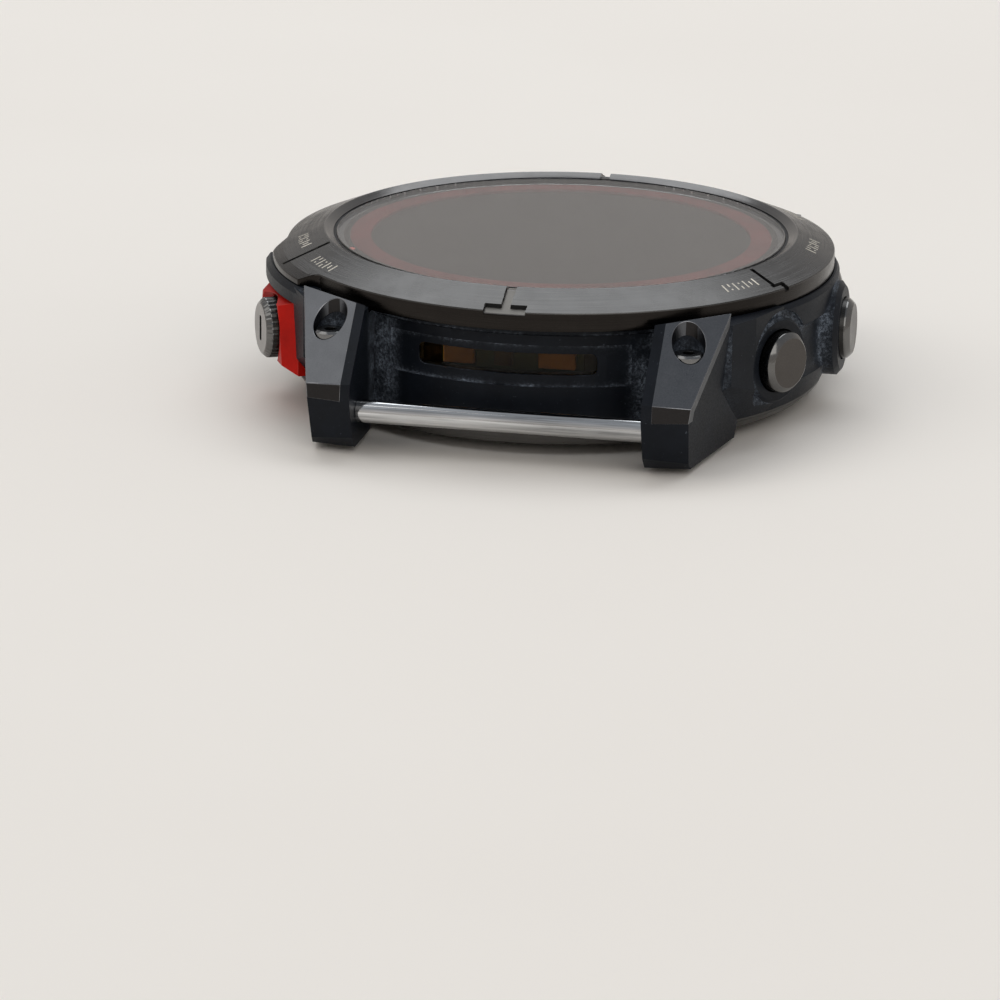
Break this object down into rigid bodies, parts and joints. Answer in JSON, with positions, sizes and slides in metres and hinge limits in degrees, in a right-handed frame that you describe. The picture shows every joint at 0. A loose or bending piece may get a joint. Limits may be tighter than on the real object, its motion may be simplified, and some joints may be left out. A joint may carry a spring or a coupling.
{
  "type": "gps running watch",
  "caption": "Round multi-sport watch head with a sloped steel bezel, side buttons, a red guard round one button, capped lugs and polished strap pins, without a strap.",
  "frame": {"origin": "centre of the sensor window's face, which rests on the wrist", "axes": "+Z out of the dial, +Y towards 12 o'clock, +X towards 3 o'clock, the start button's side"},
  "size_m": [0.0537, 0.0574, 0.0149],
  "materials": {
    "bezel_steel": "dark coated steel, brushed round the dial",
    "lug_steel": "dark coated steel, fine satin, polished edges",
    "button_steel": "satin face with a polished bevel",
    "back_steel": "satin",
    "case_polymer": "fibre-filled polymer, matt, dusty in the corners",
    "sensor_polymer": "gloss",
    "crystal_glass": "flat hardened glass",
    "sensor_glass": "dark tinted glass",
    "lens_tint": "tinted lens",
    "solar_film": "thin film",
    "display_black": "unlit panel",
    "light_guide": "frosted",
    "frame_metal": "stamped",
    "antenna_copper": "plated",
    "pin_steel": "polished steel",
    "screw_steel": "machined",
    "guard_red": "red anodised",
    "led_phosphor": "phosphor",
    "board_green": "solder mask",
    "shield_tin": "tinned",
    "battery_foil": "foil pouch",
    "weight_metal": "sintered",
    "buzzer_brass": "disc",
    "switch_black": "moulded",
    "flex_copper": "polyimide",
    "optics_green": "clear package",
    "contact_gold": "gold plated",
    "seal_rubber": "moulded",
    "clip_steel": "spring steel"
  },
  "bodies": {
    "watch": {"bezel": "bezel_steel", "bezel_gasket": "seal_rubber", "crystal": "crystal_glass", "crystal_gasket": "seal_rubber", "solar_ring": "solar_film", "display_panel": "display_black", "backlight": "light_guide", "display_frame": "frame_metal", "gps_antenna": "antenna_copper", "case_body": "case_polymer", "lug_screws": "screw_steel", "strap_pin_12": "pin_steel", "strap_pin_6": "pin_steel", "start_guard": "guard_red", "flashlight_lens": "lens_tint", "flashlight_leds": "led_phosphor", "flashlight_board": "board_green", "pressure_vent": "frame_metal", "main_board": "board_green", "shield_cans": "shield_tin", "battery": "battery_foil", "motor_housing": "shield_tin", "buzzer": "buzzer_brass", "button_sleeves": "frame_metal", "tact_switches": "switch_black", "button_flex": "flex_copper", "back_cover": "back_steel", "back_screws": "screw_steel", "back_gasket": "seal_rubber", "sensor_housing": "sensor_polymer", "sensor_window": "sensor_glass", "sensor_board": "board_green", "sensor_optics": "optics_green", "charge_socket": "switch_black", "charge_contacts": "contact_gold", "lug_cap_12_right": "lug_steel", "lug_cap_12_left": "lug_steel", "lug_cap_6_right": "lug_steel", "lug_cap_6_left": "lug_steel"},
    "button_start_body": {"button_start": "button_steel", "seal_start": "seal_rubber", "clip_start": "clip_steel", "spring_start": "clip_steel"},
    "button_light_body": {"button_light": "button_steel", "seal_light": "seal_rubber", "clip_light": "clip_steel", "spring_light": "clip_steel"},
    "button_up_body": {"button_up": "button_steel", "seal_up": "seal_rubber", "clip_up": "clip_steel", "spring_up": "clip_steel"},
    "button_down_body": {"button_down": "button_steel", "seal_down": "seal_rubber", "clip_down": "clip_steel", "spring_down": "clip_steel"},
    "button_back_body": {"button_back": "button_steel", "seal_back": "seal_rubber", "clip_back": "clip_steel", "spring_back": "clip_steel"},
    "motor_weight": {"motor_rotor": "weight_metal"}
  },
  "joints": [
    {"name": "press_start", "type": "slide", "parent": "watch", "child": "button_start_body", "axis": [-0.8829, -0.4695, 0], "range_m": [0, 0.00045], "stiffness_N_per_m": 2000, "springref_m": -0.0004, "deforming": ["spring_start"]},
    {"name": "press_light", "type": "slide", "parent": "watch", "child": "button_light_body", "axis": [0.8746, -0.4848, 0], "range_m": [0, 0.00045], "stiffness_N_per_m": 2000, "springref_m": -0.0004, "deforming": ["spring_light"]},
    {"name": "press_up", "type": "slide", "parent": "watch", "child": "button_up_body", "axis": [1, 0, 0], "range_m": [0, 0.00045], "stiffness_N_per_m": 2000, "springref_m": -0.0004, "deforming": ["spring_up"]},
    {"name": "press_down", "type": "slide", "parent": "watch", "child": "button_down_body", "axis": [0.8746, 0.4848, 0], "range_m": [0, 0.00045], "stiffness_N_per_m": 2000, "springref_m": -0.0004, "deforming": ["spring_down"]},
    {"name": "press_back", "type": "slide", "parent": "watch", "child": "button_back_body", "axis": [-0.8829, 0.4695, 0], "range_m": [0, 0.00045], "stiffness_N_per_m": 2000, "springref_m": -0.0004, "deforming": ["spring_back"]},
    {"name": "motor_spin", "type": "hinge", "parent": "watch", "child": "motor_weight", "pos_m": [-0.0055, -0.013, 0.0063], "axis": [0, 0, 1], "continuous": true}
  ]
}
